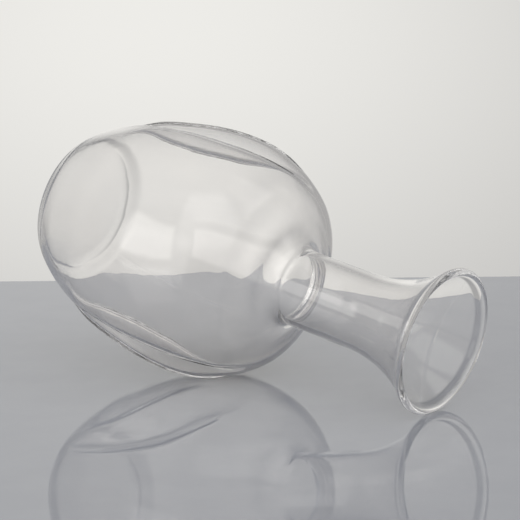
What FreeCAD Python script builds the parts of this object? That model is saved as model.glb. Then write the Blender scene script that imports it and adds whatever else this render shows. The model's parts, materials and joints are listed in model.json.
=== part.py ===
import FreeCAD, Part
import math
import os

import Sketcher
from FreeCAD import Placement, Rotation, Vector

# A blown glass flask with a pinched bulb, a flat base, a short neck and a flared mouth.
# Every piece is drawn upright, with the flask's own axis on Z. Then
# all pieces take one Placement, which lays the flask down on its belly and its rim.

# name: (millimetres or degrees, what it is)
SIZES = {
    "wall": (2.5, "thickness of the blown wall"),
    "base_wall": (4, "thickness of the base"),
    "foot_height": (4.1, "height of the foot"),
    "base_top": (12, "height of the seal between base and bulb"),
    "base_radius": (41.26, "outer radius at that seal"),
    "base_slope": (0.68, "how fast the side widens above the foot, radius over height"),
    "foot_inner": (24, "inner radius of the flat ring that the flask stands on"),
    "heel_round": (3.5, "outer rounding between the foot and the side"),
    "heel_round_inner": (2, "inner rounding between the bottom and the side"),
    "punt_rise": (0.8, "how far the middle of the base is pushed up"),
    "cap_low": (134, "height of the seal between bulb and shoulder"),
    "cap_low_radius": (46.1, "outer radius at that seal"),
    "cap_high": (141, "height of the seal between shoulder and neck root"),
    "cap_high_radius": (31, "outer radius at that seal"),
    "root_round": (2.5, "outer rounding in the crease at the neck's root"),
    "root_round_inner": (5, "inner rounding at the neck's root"),
    "neck_radius": (19.5, "outer radius of the neck"),
    "neck_low": (150, "height where the straight neck starts"),
    "neck_high": (186, "height where the flare starts"),
    "flare_round": (77, "radius of the flare's outline"),
    "flare_top": (234.9, "height of the seal between flare and rim"),
    "rim_top": (237.8, "height of the rim"),
    "dent_depth": (12.5, "how far each dent is pushed in"),
    "dent_low_run": (69, "length over which the dents sink in from the base's seal"),
    "dent_high_run": (40, "length over which they come out again to the shoulder's seal"),
    "dent_angle": (72.1, "angle of each dent's middle, from the side between the dents"),
    "dent_angle_height": (86, "height at which the dents have that angle"),
    "dent_lean": (0.266, "how fast the dents spread towards the shoulder, degrees per mm"),
    "dent_bow": (0.00465, "how much they spread at both ends, degrees per square mm"),
    "dent_power": (1.38, "how sharply the dents' section narrows"),
    "roll": (113.5, "angle from the side between the dents to the side that the flask lies on"),
}

# Outer radius of the undented bulb by height, between its two seals.
BULB = [(20, 45.9), (31, 51.1), (43, 56), (57, 59.4), (72, 62.2), (88, 63.6), (104, 62.4), (117, 57.6), (127, 52.1)]
# Half the dents' angular width by height, in degrees.
DENT_WIDTH = [(10, 9), (36, 9.3), (81, 14.9), (110, 21.4), (134, 9)]
BULB_SECTIONS = 24
SECTION_POINTS = 60

doc = FreeCAD.newDocument("pinched_flask")
sheet = doc.addObject("Spreadsheet::Sheet", "Sizes")
for row, (alias, (value, note)) in enumerate(SIZES.items(), start=1):
    sheet.set(f"A{row}", str(value))
    sheet.setAlias(f"A{row}", alias)
    sheet.set(f"B{row}", note)
doc.recompute()


def size(expression):
    """The value of an expression of the sheet's names, in mm or degrees."""
    return float(sheet.evalExpression(expression))


def arc_middle(start, end, radius):
    """A point halfway along an arc from start to end. A positive radius bulges to the right of the way there."""
    chord = end - start
    across = Vector(chord.y, -chord.x, 0).normalize()
    rise = abs(radius) - math.sqrt(radius**2 - (chord.Length / 2) ** 2)
    return (start + end) / 2 + across * math.copysign(rise, radius)


def bind(sketch, kind, where, name, expression):
    """Adds a constraint and ties its value to the sheet."""
    index = sketch.addConstraint(Sketcher.Constraint(kind, *where, size(expression)))
    sketch.renameConstraint(index, name)
    sketch.setExpression(f"Constraints.{name}", expression)


def add_outline(body, corners, arcs):
    """A closed outline on the body's XZ plane. Corners are (radius, height) expressions. Arcs holds the radius
    of each round edge, by the number of the corner that it starts from."""
    sketch = body.newObject("Sketcher::SketchObject", f"{body.Name}_outline")
    plane = next(f for f in body.Origin.OriginFeatures if f.Role == "XZ_Plane")
    sketch.AttachmentSupport = (plane, [""])
    sketch.MapMode = "FlatFace"
    points = [Vector(size(radius), size(height), 0) for radius, height in corners]
    for edge, start in enumerate(points):
        end = points[(edge + 1) % len(points)]
        if edge in arcs:
            middle = arc_middle(start, end, size(arcs[edge]))
            sketch.addGeometry(Part.Arc(start, middle, end))
            bind(sketch, "Radius", (edge,), f"round{edge}", f"abs({arcs[edge]})")
        else:
            sketch.addGeometry(Part.LineSegment(start, end))
    for edge, (radius, height) in enumerate(corners):
        here = start_of(sketch, edge, points[edge])
        before = (edge - 1) % len(points)
        there = start_of(sketch, before, points[edge])
        sketch.addConstraint(Sketcher.Constraint("Coincident", edge, here, before, there))
        if radius == "0":
            sketch.addConstraint(Sketcher.Constraint("PointOnObject", edge, here, -2))
        else:
            bind(sketch, "DistanceX", (-1, 1, edge, here), f"radius{edge}", radius)
        bind(sketch, "DistanceY", (-1, 1, edge, here), f"height{edge}", height)
    return sketch


def start_of(sketch, edge, point):
    """1 or 2, whichever end of the edge lies at the point, because an arc always runs anticlockwise."""
    return min((1, 2), key=lambda end: sketch.getPoint(edge, end).distanceToPoint(point))


def turned(name, corners, arcs=None):
    """A body made by turning an outline once round the flask's axis."""
    body = doc.addObject("PartDesign::Body", name)
    sketch = add_outline(body, corners, arcs or {})
    turning = body.newObject("PartDesign::Revolution", f"{name}_turning")
    turning.Profile = sketch
    turning.ReferenceAxis = (sketch, ["V_Axis"])
    turning.Angle = 360
    doc.recompute()
    return body


def round_off(body, radius, height, expression):
    """Rounds the circular edge of the body's latest shape that lies nearest to a radius and a height."""
    base = body.Tip
    circles = [
        (abs(edge.Curve.Radius - size(radius)) + abs(edge.Curve.Center.z - size(height)), f"Edge{number}")
        for number, edge in enumerate(base.Shape.Edges, start=1)
        if edge.Curve.TypeId == "Part::GeomCircle"
    ]
    fillet = body.newObject("PartDesign::Fillet", f"{body.Name}_round")
    fillet.Base = (base, [min(circles)[1]])
    fillet.Radius = size(expression)
    fillet.setExpression("Radius", expression)
    doc.recompute()


def make_base():
    """The bottom: a flat ring to stand on, the middle pushed up a little, and a rounded heel."""
    foot = "(Sizes.base_radius - Sizes.base_slope * (Sizes.base_top - Sizes.foot_height))"
    side_wall = "Sizes.wall * sqrt(1 + Sizes.base_slope ^ 2)"
    inner_foot = f"({foot} + Sizes.base_slope * Sizes.base_wall - {side_wall})"
    body = turned(
        "base_disc",
        [
            ("0", "Sizes.foot_height + Sizes.punt_rise"),
            ("Sizes.foot_inner", "Sizes.foot_height"),
            (foot, "Sizes.foot_height"),
            ("Sizes.base_radius", "Sizes.base_top"),
            (f"Sizes.base_radius - {side_wall}", "Sizes.base_top"),
            (inner_foot, "Sizes.foot_height + Sizes.base_wall"),
            ("Sizes.foot_inner", "Sizes.foot_height + Sizes.base_wall"),
            ("0", "Sizes.foot_height + Sizes.base_wall + Sizes.punt_rise"),
        ],
    )
    round_off(body, foot, "Sizes.foot_height", "Sizes.heel_round")
    round_off(body, inner_foot, "Sizes.foot_height + Sizes.base_wall", "Sizes.heel_round_inner")
    return body


def cap_slope():
    """How fast the shoulder narrows, radius over height, as an expression."""
    return "((Sizes.cap_low_radius - Sizes.cap_high_radius) / (Sizes.cap_high - Sizes.cap_low))"


def cap_wall():
    """The shoulder's wall measured across the axis, as an expression."""
    return f"(Sizes.wall * sqrt(1 + {cap_slope()} ^ 2))"


def make_shoulder():
    """The steep crown over the bulb."""
    return turned(
        "shoulder_cap",
        [
            ("Sizes.cap_low_radius", "Sizes.cap_low"),
            ("Sizes.cap_high_radius", "Sizes.cap_high"),
            (f"Sizes.cap_high_radius - {cap_wall()}", "Sizes.cap_high"),
            (f"Sizes.cap_low_radius - {cap_wall()}", "Sizes.cap_low"),
        ],
    )


def make_neck_seal():
    """The ring where the crown and the neck are fused, with a tight crease outside."""
    outer_corner = f"(Sizes.cap_high + (Sizes.cap_high_radius - Sizes.neck_radius) / {cap_slope()})"
    bore = "(Sizes.neck_radius - Sizes.wall)"
    inner_corner = f"(Sizes.cap_high + (Sizes.cap_high_radius - {cap_wall()} - {bore}) / {cap_slope()})"
    body = turned(
        "neck_seal",
        [
            ("Sizes.cap_high_radius", "Sizes.cap_high"),
            ("Sizes.neck_radius", outer_corner),
            ("Sizes.neck_radius", "Sizes.neck_low"),
            (bore, "Sizes.neck_low"),
            (bore, inner_corner),
            (f"Sizes.cap_high_radius - {cap_wall()}", "Sizes.cap_high"),
        ],
    )
    round_off(body, "Sizes.neck_radius", outer_corner, "Sizes.root_round")
    round_off(body, bore, inner_corner, "Sizes.root_round_inner")
    return body


def make_neck():
    """The straight tube."""
    outside = doc.addObject("Part::Cylinder", "neck_outside")
    outside.setExpression("Radius", "Sizes.neck_radius")
    bore = doc.addObject("Part::Cylinder", "neck_bore")
    bore.setExpression("Radius", "Sizes.neck_radius - Sizes.wall")
    for cylinder in (outside, bore):
        cylinder.setExpression("Height", "Sizes.neck_high - Sizes.neck_low")
        cylinder.setExpression("Placement.Base.z", "Sizes.neck_low")
    tube = doc.addObject("Part::Cut", "neck_tube")
    tube.Base = outside
    tube.Tool = bore
    return tube


def flare_radius(outline_radius):
    """The radius that the flare's outline reaches at its top, as an expression."""
    return (
        "(Sizes.neck_radius + Sizes.flare_round"
        f" - sqrt({outline_radius} ^ 2 - (Sizes.flare_top - Sizes.neck_high) ^ 2))"
    )


def make_flare():
    """The trumpet mouth, between two arcs about one centre."""
    inner_round = "(Sizes.flare_round + Sizes.wall)"
    return turned(
        "mouth_flare",
        [
            ("Sizes.neck_radius", "Sizes.neck_high"),
            (flare_radius("Sizes.flare_round"), "Sizes.flare_top"),
            (flare_radius(inner_round), "Sizes.flare_top"),
            ("Sizes.neck_radius - Sizes.wall", "Sizes.neck_high"),
        ],
        {0: "-Sizes.flare_round", 2: inner_round},
    )


def make_rim():
    """The fire-polished bead on the mouth."""
    outer = flare_radius("Sizes.flare_round")
    inner = flare_radius("(Sizes.flare_round + Sizes.wall)")
    rise = "(Sizes.rim_top - Sizes.flare_top)"
    half_wall = f"(({outer} - {inner}) / 2)"
    bead_round = f"(({half_wall} ^ 2 + {rise} ^ 2) / (2 * {rise}))"
    middle = f"({outer} - {half_wall})"
    return turned(
        "rim_bead",
        [
            (inner, "Sizes.flare_top"),
            (outer, "Sizes.flare_top"),
            (middle, "Sizes.rim_top"),
        ],
        {1: bead_round, 2: bead_round},
    )


def smooth_step(fraction):
    """Rises from 0 to 1 with level ends."""
    held = min(max(fraction, 0), 1)
    return held * held * (3 - 2 * held)


def smooth_curve(points):
    """A curve through (height, value) points."""
    curve = Part.BSplineCurve()
    curve.interpolate([Vector(height, value, 0) for height, value in points])
    return curve


def value_at(curve, height):
    """The curve's value at a height, and how fast it changes there."""
    low, high = curve.FirstParameter, curve.LastParameter
    for _ in range(40):
        middle = (low + high) / 2
        if curve.value(middle).x < height:
            low = middle
        else:
            high = middle
    slope = curve.tangent(low)[0]
    return curve.value(low).y, slope.y / slope.x


def dent_shape(height, angle, width_curve):
    """How far the wall is pushed in at a height and an angle in degrees, in mm."""
    sink = smooth_step((height - size("Sizes.base_top")) / size("Sizes.dent_low_run"))
    rise = smooth_step((size("Sizes.cap_low") - height) / size("Sizes.dent_high_run"))
    above = height - size("Sizes.dent_angle_height")
    middle = size("Sizes.dent_angle") + size("Sizes.dent_lean") * above + size("Sizes.dent_bow") * above**2
    across = min(abs(abs(angle) - middle) / value_at(width_curve, height)[0], 1)
    section = ((1 + math.cos(math.pi * across)) / 2) ** size("Sizes.dent_power")
    return size("Sizes.dent_depth") * sink * rise * section


def bulb_skin(inside):
    """A solid through sections of the bulb's outer or inner skin."""
    low, high = size("Sizes.base_top"), size("Sizes.cap_low")
    ends = [(low, size("Sizes.base_radius")), (high, size("Sizes.cap_low_radius"))]
    radius_curve = smooth_curve([ends[0], *BULB, ends[1]])
    width_curve = smooth_curve(DENT_WIDTH)
    parameters = [step / SECTION_POINTS for step in range(SECTION_POINTS + 1)]
    wires = []
    for section in range(BULB_SECTIONS + 1):
        height = low + (high - low) * section / BULB_SECTIONS
        radius, slope = value_at(radius_curve, height)
        if inside:
            radius -= size("Sizes.wall") * math.sqrt(1 + slope**2)
        points = []
        for step in range(SECTION_POINTS):
            angle = -180 + 360 * step / SECTION_POINTS
            reach = radius - dent_shape(height, angle, width_curve)
            turn = math.radians(angle)
            points.append(Vector(reach * math.cos(turn), reach * math.sin(turn), height))
        ring = Part.BSplineCurve()
        ring.interpolate(Points=points, PeriodicFlag=True, Parameters=parameters)
        wires.append(Part.Wire(ring.toShape()))
    return Part.makeLoft(wires, True, False, False, 3)


def make_bulb():
    """The blown bulb: a free-form shell, round but for two pinched dents. Its sizes come from the sheet."""
    bulb = doc.addObject("Part::Feature", "bulb")
    bulb.Shape = bulb_skin(inside=False).cut(bulb_skin(inside=True))
    return bulb


def lie_down(pieces):
    """The Placement that rests the flask on its belly and its rim, with the middle of its footprint at zero."""
    rolled = Placement(Vector(), Rotation(Vector(0, 0, 1), -size("Sizes.roll")))
    shapes = [piece.Shape for piece in pieces]
    whole = Part.makeCompound(shapes)
    by_name = {piece.Name: piece.Shape for piece in pieces}

    def laid(tilt):
        return Placement(Vector(), Rotation(Vector(0, 1, 0), 90 + tilt)) * rolled

    def lowest(shape, tilt):
        return shape.transformed(laid(tilt).toMatrix()).optimalBoundingBox(False, False).ZMin

    low, high = 0, 20
    while high - low > 0.001:
        tilt = (low + high) / 2
        if lowest(by_name["rim_bead"], tilt) < lowest(by_name["bulb"], tilt):
            high = tilt
        else:
            low = tilt
    box = whole.transformed(laid(low).toMatrix()).optimalBoundingBox(False, False)
    print(f"tilt {low:.2f}, box {box.XLength:.2f} x {box.YLength:.2f} x {box.ZLength:.2f}")
    to_origin = Vector(-box.Center.x, -box.Center.y, -box.ZMin)
    return Placement(to_origin, Rotation()) * laid(low)


pieces = [
    make_base(),
    make_bulb(),
    make_shoulder(),
    make_neck_seal(),
    make_neck(),
    make_flare(),
    make_rim(),
]
doc.recompute()
resting = lie_down(pieces)
for piece in pieces:
    piece.Label = piece.Name
    piece.Placement = resting
doc.recompute()

for thing in doc.Objects:
    if {"Invalid", "Error"} & set(thing.State):
        raise RuntimeError(f"{thing.Name} failed: {thing.State}")
for piece in pieces:
    if piece.Shape.isNull() or not piece.Shape.isValid():
        raise RuntimeError(f"{piece.Label} has no valid shape")
    print(piece.Label, len(piece.Shape.Solids), f"{piece.Shape.Volume:.0f} mm3")

os.makedirs("parts", exist_ok=True)
for piece in pieces:
    piece.Shape.exportStep(f"parts/{piece.Label}.step")
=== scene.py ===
import json
import math

import bpy
import numpy as np
from mathutils import Matrix, Quaternion, Vector


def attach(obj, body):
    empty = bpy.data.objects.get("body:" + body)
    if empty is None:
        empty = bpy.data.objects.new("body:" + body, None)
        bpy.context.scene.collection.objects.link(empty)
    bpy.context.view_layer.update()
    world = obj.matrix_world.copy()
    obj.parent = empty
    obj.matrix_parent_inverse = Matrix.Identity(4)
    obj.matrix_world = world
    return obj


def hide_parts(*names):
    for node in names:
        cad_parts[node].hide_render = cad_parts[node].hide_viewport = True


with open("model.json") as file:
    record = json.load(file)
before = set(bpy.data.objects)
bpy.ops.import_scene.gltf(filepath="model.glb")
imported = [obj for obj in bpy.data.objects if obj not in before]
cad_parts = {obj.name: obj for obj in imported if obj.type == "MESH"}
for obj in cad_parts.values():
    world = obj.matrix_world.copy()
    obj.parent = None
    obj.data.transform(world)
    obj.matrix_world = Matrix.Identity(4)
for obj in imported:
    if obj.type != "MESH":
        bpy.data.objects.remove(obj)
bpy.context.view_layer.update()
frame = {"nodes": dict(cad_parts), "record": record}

# The flask's own directions: towards the side between the two dents, across, and along its axis from base to
# mouth. Their origin is on the axis, 4.1 mm below the foot.
MM = 0.001
NECK_HEIGHT = 166.97 * MM  # of the neck mount above that origin
ROLL = math.radians(113.5)  # from the side between the dents to the side that the flask lies on
neck_mount = next(m for m in frame["record"]["mounts"] if m["name"] == "neck_bore")
ALONG = Vector(neck_mount["axis"]).normalized()
ORIGIN = Vector(neck_mount["pos_m"]) - ALONG * NECK_HEIGHT
UNDER = (Vector((0, 0, -1)) + ALONG * ALONG.z).normalized()
FACING = Matrix.Rotation(-ROLL, 3, ALONG) @ UNDER
ACROSS = ALONG.cross(FACING)

# ---------------------------------------------------------------- shape of the glass, in mm from its origin

# (height, outer radius) of the undented outside, from the foot to the neck
HEEL = [(4.1, 0.01), (4.1, 10), (4.1, 20), (4.1, 28), (4.15, 32.5), (4.7, 35.1), (6.2, 37)]
BULB = [(11.9, 41.2), (20, 45.9), (31, 51.1), (43, 56), (57, 59.4), (72, 62.2), (88, 63.6), (104, 62.4),
        (117, 57.6), (127, 52.1), (133.9, 46.2), (138.5, 36.8), (142.3, 28)]
NECK_ROOT = [(145.4, 21.2), (147.8, 19.6)]
NECK_RADIUS, NECK_LOW, NECK_HIGH = 19.5, 149, 186
FLARE_ROUND, FLARE_TOP = 77, 234.6  # radius of the flare's curve, and its upper end
WALL, BASE_WALL, SHOULDER_WALL, SEAL_WALL, RIM_WALL = 2.5, 4, 3.3, 3.4, 4
BASE_WALL_TOP, BASE_WALL_RUN = 4.4, 8  # where the base's thickness starts to thin, and over what height
SHOULDER_HEIGHT, SHOULDER_REACH = 134, 10  # the thicker stretch at the shoulder, and how far it reaches
SEAL_HEIGHT, SEAL_REACH = 145, 3
BEAD_LENGTH, BEAD_RUN = 3.4, 2.6  # of the rim's bead, and how soon it reaches its full thickness
BEAD_SWELL = 0.1  # how far the bead stands out from the flare

# The middle of each dent is at this angle from the side between the dents. It leans and bows with the height.
DENT_ANGLE, DENT_LEAN, DENT_BOW, DENT_ANGLE_HEIGHT = 72.1, 0.266, 0.00465, 86
DENT_DEPTH, DENT_POWER = 12.5, 1.38
DENT_LOW, DENT_LOW_RUN, DENT_HIGH, DENT_HIGH_RUN = 12, 69, 134, 40
DENT_WIDTH = [(10, 9), (36, 9.3), (81, 14.9), (110, 21.4), (134, 9)]  # (height, half the width in degrees)

RIPPLES = (90, 74, 64, 56, 49, 44, 40, 36, 33, 30)  # wavelengths
RIPPLE_DEPTH, RIPPLE_SEED = 0.06, 5
RIPPLE_LOW, RIPPLE_RUN = 12, 12  # the height from which the wall is uneven, and over which that grows

ROWS, AROUND, CAP_ROWS = 520, 288, 16  # points up the outside, round it, and over the rim


def smooth_step(fraction):
    held = np.clip(fraction, 0, 1)
    return held * held * (3 - 2 * held)


def spline(stations, values, at):
    """A natural cubic spline through values at stations, read at the places in at."""
    x, y = np.asarray(stations, float), np.asarray(values, float)
    gap = np.diff(x)
    count = len(x)
    system, right = np.eye(count), np.zeros((count,) + y.shape[1:])
    for i in range(1, count - 1):
        system[i, i - 1 : i + 2] = gap[i - 1], 2 * (gap[i - 1] + gap[i]), gap[i]
        right[i] = 6 * ((y[i + 1] - y[i]) / gap[i] - (y[i] - y[i - 1]) / gap[i - 1])
    bend = np.linalg.solve(system, right)
    place = np.clip(np.searchsorted(x, at, side="right") - 1, 0, count - 2)
    step = gap[place]
    a, b = (x[place + 1] - at) / step, (at - x[place]) / step
    if y.ndim > 1:
        step, a, b = step[:, None], a[:, None], b[:, None]
    curve = a * y[place] + b * y[place + 1]
    return curve + ((a**3 - a) * bend[place] + (b**3 - b) * bend[place + 1]) * step**2 / 6


def outer_profile():
    """Evenly spaced (height, radius) points of the undented outside, from the middle of the base to the rim."""
    straight = [(height, NECK_RADIUS) for height in np.linspace(NECK_LOW + 1, NECK_HIGH, 7)]
    centre = NECK_RADIUS + FLARE_ROUND
    flare = [
        (height, centre - math.sqrt(FLARE_ROUND**2 - (height - NECK_HIGH) ** 2))
        for height in np.linspace(NECK_HIGH, FLARE_TOP, 12)[1:]
    ]
    points = np.array(HEEL + BULB + NECK_ROOT + straight + flare)
    along = np.concatenate([[0], np.cumsum(np.hypot(*np.diff(points, axis=0).T))])
    return spline(along, points, np.linspace(0, along[-1], ROWS))


def dent(height, angle):
    """How far the wall is pushed in, in mm, at a height and an angle in degrees."""
    sink = smooth_step((height - DENT_LOW) / DENT_LOW_RUN)
    rise = smooth_step((DENT_HIGH - height) / DENT_HIGH_RUN)
    above = height - DENT_ANGLE_HEIGHT
    middle = DENT_ANGLE + DENT_LEAN * above + DENT_BOW * above**2
    heights, widths = zip(*DENT_WIDTH)
    width = spline(heights, widths, np.clip(height, heights[0], heights[-1]))
    across = np.minimum(abs(abs(angle) - middle) / width, 1)
    return DENT_DEPTH * sink * rise * ((1 + np.cos(np.pi * across)) / 2) ** DENT_POWER


def ripple(points, seed):
    """The slight unevenness of a blown skin: waves in many directions, added up, about 1 mm high."""
    random = np.random.default_rng(seed)
    total = np.zeros(points.shape[:-1])
    for wavelength in RIPPLES:
        across = random.normal(size=3)
        across *= 2 * math.pi / (wavelength * np.linalg.norm(across))
        total += wavelength * np.sin(points @ across + random.uniform(0, 2 * math.pi))
    return total / np.linalg.norm(RIPPLES)


def bell(place, middle, reach):
    return np.exp(-(((place - middle) / reach) ** 2))


def wall_thickness(outside, height, bead):
    """Thick in the base, at the shoulder, at the neck's seam and in the rim's bead, and slightly uneven."""
    wall = BASE_WALL + (WALL - BASE_WALL) * smooth_step((height - BASE_WALL_TOP) / BASE_WALL_RUN)
    wall = wall + (SHOULDER_WALL - WALL) * bell(height, SHOULDER_HEIGHT, SHOULDER_REACH)
    wall = wall + (SEAL_WALL - WALL) * bell(height, SEAL_HEIGHT, SEAL_REACH)
    wall = wall + (RIM_WALL - WALL) * bead
    blown = smooth_step((height - RIPPLE_LOW) / RIPPLE_RUN)
    return wall + ripple(outside, RIPPLE_SEED) * RIPPLE_DEPTH * blown * (1 - bead)


def glass_points():
    """Rows of points round the flask: up the outside, over the rim and back down the inside."""
    profile = outer_profile()
    height = profile[:, :1]
    angle = np.linspace(-180, 180, AROUND, endpoint=False)[None, :]
    radius = profile[:, 1:] - dent(height, angle)
    turn = np.radians(angle)
    outside = np.stack(
        [radius * np.cos(turn), radius * np.sin(turn), np.broadcast_to(height, radius.shape)], axis=-1
    )
    upward = np.gradient(outside, axis=0)
    padded = np.concatenate([outside[:, -1:], outside, outside[:, :1]], axis=1)
    sideways = (padded[:, 2:] - padded[:, :-2]) / 2
    normal = np.cross(sideways, upward)
    normal /= np.linalg.norm(normal, axis=-1, keepdims=True)
    bead = smooth_step((height - (FLARE_TOP - BEAD_LENGTH)) / BEAD_RUN)
    wall = wall_thickness(outside, height, bead)
    outside = outside + normal * (bead * BEAD_SWELL)[..., None]
    inside = outside - normal * wall[..., None]
    middle, half = (outside[-1] + inside[-1]) / 2, (outside[-1] - inside[-1]) / 2
    forward = upward[-1] / np.linalg.norm(upward[-1], axis=-1, keepdims=True)
    reach = np.linalg.norm(half, axis=-1, keepdims=True)
    cap = [
        middle + half * math.cos(turned) + forward * reach * math.sin(turned)
        for turned in np.linspace(0, math.pi, CAP_ROWS + 1)[1:-1]
    ]
    return np.concatenate([outside, np.array(cap), inside[::-1]])


def to_frame(points):
    """Points in mm of the flask's own directions, as metres in the frame."""
    turn = np.array([FACING, ACROSS, ALONG])
    return points * MM @ turn + np.array(ORIGIN)


def grid_mesh(name, rows):
    """A smooth closed mesh from rows of points round an axis, closed at its first and last row by one point."""
    count, around = rows.shape[:2]
    points = to_frame(rows.reshape(-1, 3))
    poles = to_frame(np.array([rows[0].mean(axis=0), rows[-1].mean(axis=0)]))
    faces = []
    for row in range(count - 1):
        for step in range(around):
            a, b = row * around + step, row * around + (step + 1) % around
            faces.append((a, b, b + around, a + around))
    first, last = len(points), len(points) + 1
    for step in range(around):
        after = (step + 1) % around
        faces.append((first, after, step))
        faces.append((last, (count - 1) * around + step, (count - 1) * around + after))
    mesh = bpy.data.meshes.new(name)
    mesh.from_pydata(np.vstack([points, poles]).tolist(), [], faces)
    mesh.polygons.foreach_set("use_smooth", [True] * len(mesh.polygons))
    mesh.update()
    piece = bpy.data.objects.new(name, mesh)
    bpy.context.scene.collection.objects.link(piece)
    return piece


# ---------------------------------------------------------------- materials

GLASS_IOR = 1.473
TABLE_IOR = 2.4  # high, for reflections as strong as in the photo


class Sums:
    """Adds small arithmetic nodes to a node tree."""

    def __init__(self, tree):
        self.tree = tree

    def put(self, socket, value):
        if isinstance(value, (int, float)):
            socket.default_value = value
        else:
            self.tree.links.new(value, socket)

    def math(self, operation, *values):
        node = self.tree.nodes.new("ShaderNodeMath")
        node.operation = operation
        for socket, value in zip(node.inputs, values):
            self.put(socket, value)
        return node.outputs["Value"]

    def noise(self, vector, scale, detail=2):
        """A soft noise between 0 and 1, with the scale in waves per metre."""
        node = self.tree.nodes.new("ShaderNodeTexNoise")
        node.inputs["Scale"].default_value = scale
        node.inputs["Detail"].default_value = detail
        self.tree.links.new(vector, node.inputs["Vector"])
        return node.outputs["Fac"]

    def bump(self, height, metres):
        node = self.tree.nodes.new("ShaderNodeBump")
        node.inputs["Distance"].default_value = metres
        self.tree.links.new(height, node.inputs["Height"])
        return node.outputs["Normal"]

    def along(self, vector, direction):
        """How far a vector reaches along a direction."""
        node = self.tree.nodes.new("ShaderNodeVectorMath")
        node.operation = "DOT_PRODUCT"
        self.tree.links.new(vector, node.inputs[0])
        node.inputs[1].default_value = direction
        return node.outputs["Value"]

    def fade(self, value, empty, full):
        """Eases from 0 to 1 as the value goes from empty to full."""
        node = self.tree.nodes.new("ShaderNodeMapRange")
        node.interpolation_type = "SMOOTHSTEP"
        reverse = empty > full
        self.put(node.inputs["Value"], value)
        self.put(node.inputs["From Min"], min(empty, full))
        self.put(node.inputs["From Max"], max(empty, full))
        self.put(node.inputs["To Min"], float(reverse))
        self.put(node.inputs["To Max"], float(not reverse))
        return node.outputs["Result"]

    def mix(self, share, first, second):
        """One colour blended into another. Either one is a socket or three numbers."""
        node = self.tree.nodes.new("ShaderNodeMix")
        node.data_type = "RGBA"
        self.put(node.inputs["Factor"], share)
        for socket, colour in ((node.inputs["A"], first), (node.inputs["B"], second)):
            if isinstance(colour, tuple):
                socket.default_value = (*colour, 1)
            else:
                self.tree.links.new(colour, socket)
        return node.outputs["Result"]


def new_material(name):
    """A material with its tree, its shader, a helper for sums, and the place on the object."""
    material = bpy.data.materials.new(name)
    material.use_nodes = True
    tree = material.node_tree
    place = tree.nodes.new("ShaderNodeTexCoord").outputs["Object"]
    return material, tree, tree.nodes["Principled BSDF"], Sums(tree), place


def clear_glass():
    """Clear borosilicate with the slight unevenness, cords and haze of a blown wall."""
    material, tree, shader, sums, place = new_material("clear_glass")
    cloud = sums.fade(sums.noise(place, 18), 0.3, 0.7)
    tint = sums.mix(cloud, (0.999, 0.991, 0.987), (0.990, 0.986, 0.984))
    haze = sums.math("MULTIPLY", sums.fade(sums.noise(place, 45, 4), 0.6, 0.8), 0.012)
    tree.links.new(tint, shader.inputs["Base Color"])
    tree.links.new(haze, shader.inputs["Roughness"])
    tree.links.new(sums.bump(sums.noise(place, 55), 0.00006), shader.inputs["Normal"])
    shader.inputs["IOR"].default_value = GLASS_IOR
    shader.inputs["Transmission Weight"].default_value = 1
    return material


def table_top():
    """Glossy pale grey laminate, very slightly mottled."""
    material, tree, shader, sums, place = new_material("table_top")
    mottle = sums.fade(sums.noise(place, 30, 5), 0.3, 0.7)
    colour = sums.mix(mottle, (0.395, 0.418, 0.478), (0.415, 0.438, 0.497))
    polish = sums.math("MULTIPLY_ADD", sums.noise(place, 9), 0.012, 0.006)
    tree.links.new(colour, shader.inputs["Base Color"])
    tree.links.new(polish, shader.inputs["Roughness"])
    shader.inputs["IOR"].default_value = TABLE_IOR
    return material


# ---------------------------------------------------------------- studio

VIEW_FROM = (1.3484, 0, 1.0043)  # metres in the flask's own directions
VIEW_AT = (0.052, -0.0055, 0.1548)
VIEW_ROLL = math.radians(1.42)
FOCAL_MM, SENSOR_MM = 221.5, 36
BOUNCES = 80  # light crosses many skins of glass

# In metres: near and far edge, from the middle of the frame; half the width; the thickness
TABLE_NEAR, TABLE_FAR, TABLE_HALF, TABLE_THICK = -2.2, 0.23, 2.5, 0.03
TABLE_YAW = math.radians(3.8)  # of the far edge, against the camera's view

ROOM = (0.40, 0.395, 0.39)
BACKDROP = (0.85, 0.84, 0.808)
BACKDROP_SIDE = 2  # degrees by which the brightest part stands left of the flask
BACKDROP_HALF = 18  # degrees from its brightest part to where it has faded away
BACKDROP_FOOT, BACKDROP_HEAD = (-20, -8.5), (32, 9)  # degrees above the table: faded away, and full
# For each soft box: its centre and half width, in degrees round the flask to the right of the camera; its low
# and high edge, in degrees above the table; the width of its soft edges; its colour
SOFTBOXES = [
    (-57, 26, 4, 34, 6, (1.9, 1.87, 1.82)),
    (4, 32, 14, 66, 14, (1.2, 1.19, 1.17)),
    (72, 22, 32, 66, 14, (1.15, 1.13, 1.10)),
]


def own_point(point):
    """A place in metres of the flask's own directions, in the frame."""
    return ORIGIN + FACING * point[0] + ACROSS * point[1] + ALONG * point[2]


def add_camera():
    """The camera that took the photo, fitted to the rim, the neck's root and the bulb's outline."""
    data = bpy.data.cameras.new("camera")
    data.lens, data.sensor_width = FOCAL_MM, SENSOR_MM
    data.clip_start, data.clip_end = 0.01, 100
    camera = bpy.data.objects.new("camera", data)
    bpy.context.scene.collection.objects.link(camera)
    camera.location = own_point(VIEW_FROM)
    aim = own_point(VIEW_AT) - camera.location
    camera.rotation_mode = "QUATERNION"
    camera.rotation_quaternion = aim.to_track_quat("-Z", "Y") @ Quaternion((0, 0, 1), -VIEW_ROLL)
    bpy.context.scene.camera = camera
    return camera


def level_view(camera):
    """The level directions away from the camera and to its right."""
    forward = Vector((0, 0, -1))
    forward.rotate(camera.rotation_quaternion)
    away = Vector((forward.x, forward.y, 0)).normalized()
    return away, Vector((away.y, -away.x, 0))


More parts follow.
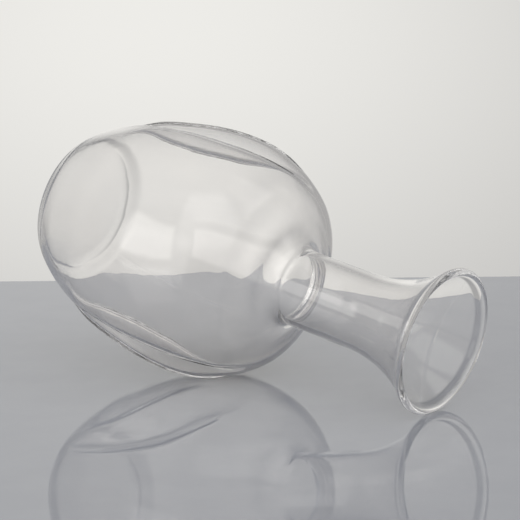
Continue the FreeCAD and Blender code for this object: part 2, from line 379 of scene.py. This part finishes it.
def add_table(camera):
    """The table: its far edge lies behind the flask, across the camera's view."""
    away, right = level_view(camera)
    yaw = Matrix.Rotation(-TABLE_YAW, 3, "Z")
    away, right = yaw @ away, yaw @ right
    corners = [
        right * x + away * y + Vector((0, 0, z))
        for z in (-TABLE_THICK, 0)
        for y in (TABLE_NEAR, TABLE_FAR)
        for x in (-TABLE_HALF, TABLE_HALF)
    ]
    faces = [(4, 5, 7, 6), (0, 2, 3, 1), (0, 1, 5, 4), (2, 6, 7, 3), (1, 3, 7, 5), (0, 4, 6, 2)]
    mesh = bpy.data.meshes.new("table")
    mesh.from_pydata([tuple(c) for c in corners], [], faces)
    mesh.materials.append(table_top())
    table = bpy.data.objects.new("table", mesh)
    bpy.context.scene.collection.objects.link(table)


def add_world(camera):
    """A room with a bright backdrop behind the flask and soft boxes on the camera's side."""
    world = bpy.data.worlds.new("studio")
    bpy.context.scene.world = world
    world.use_nodes = True
    tree = world.node_tree
    sums = Sums(tree)
    direction = tree.nodes.new("ShaderNodeTexCoord").outputs["Generated"]
    away, right = level_view(camera)
    turn = sums.math("ARCTAN2", sums.along(direction, right), sums.along(direction, -away))
    turn = sums.math("MULTIPLY", turn, math.degrees(1))
    rise = sums.math("ARCSINE", sums.along(direction, (0, 0, 1)))
    rise = sums.math("MULTIPLY", rise, math.degrees(1))
    # The backdrop fades to both sides, to its foot and towards the ceiling.
    behind = sums.math("WRAP", sums.math("ADD", turn, 180 - BACKDROP_SIDE), 180, -180)
    lit = sums.fade(sums.math("ABSOLUTE", behind), BACKDROP_HALF, 0)
    for faded, full in (BACKDROP_FOOT, BACKDROP_HEAD):
        lit = sums.math("MULTIPLY", lit, sums.fade(rise, faded, full))
    colour = sums.mix(lit, ROOM, BACKDROP)
    for middle, half, low, high, soft, shine in SOFTBOXES:
        aside = sums.math("ABSOLUTE", sums.math("SUBTRACT", turn, middle))
        share = sums.fade(aside, half + soft / 2, half - soft / 2)
        share = sums.math("MULTIPLY", share, sums.fade(rise, low - soft / 2, low + soft / 2))
        share = sums.math("MULTIPLY", share, sums.fade(rise, high + soft / 2, high - soft / 2))
        colour = sums.mix(share, colour, shine)
    tree.links.new(colour, tree.nodes["Background"].inputs["Color"])


glass = grid_mesh("flask_glass", glass_points())
glass.data.materials.append(clear_glass())
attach(glass, "root")
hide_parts(*frame["nodes"])

camera = add_camera()
add_table(camera)
add_world(camera)

scene = bpy.context.scene
scene.view_settings.view_transform = "Standard"
scene.cycles.max_bounces = BOUNCES
scene.cycles.transmission_bounces = BOUNCES
scene.cycles.glossy_bounces = BOUNCES
scene.cycles.use_denoising = True
